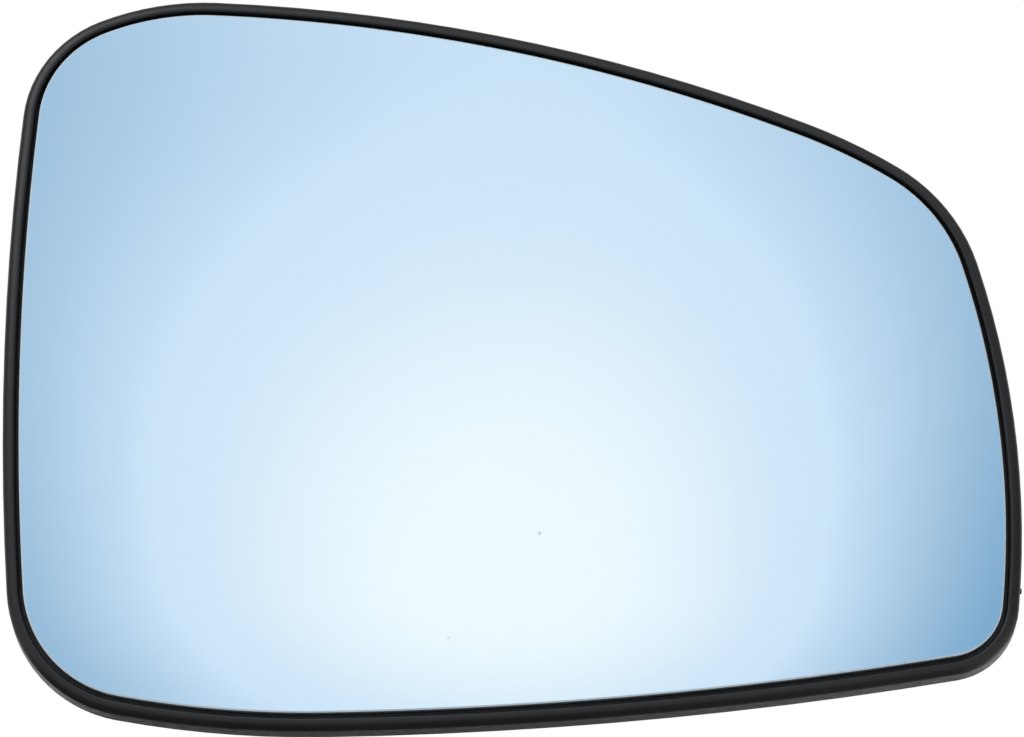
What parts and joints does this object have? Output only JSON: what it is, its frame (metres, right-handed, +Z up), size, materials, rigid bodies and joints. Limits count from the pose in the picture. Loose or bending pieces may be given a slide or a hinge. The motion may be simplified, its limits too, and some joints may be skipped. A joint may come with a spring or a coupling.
{
  "type": "car door mirror glass",
  "caption": "Convex car door mirror glass with a heating pad on a black plastic backing plate that snaps onto the mirror's actuator.",
  "frame": {"origin": "on the axis of the actuator socket, at the flat land that the actuator's carrier is seated on", "axes": "upright as installed: -Y out of the mirror's face, +Y along the socket's axis out of its mouth, +X to the viewer's right, +Z up"},
  "size_m": [0.1823, 0.0141, 0.1371],
  "materials": {
    "mirror": "polished, pale blue tint",
    "pad": "smooth film",
    "plate": "fine grained moulding, slightly glossy on the rim",
    "terminal": "tin plated brass",
    "rivet": "plain brass"
  },
  "bodies": {
    "root": {"mirror_glass": "mirror", "heating_pad": "pad", "backing_plate": "plate", "terminal_upper": "terminal", "terminal_lower": "terminal", "terminal_rivets": "rivet"}
  },
  "joints": []
}
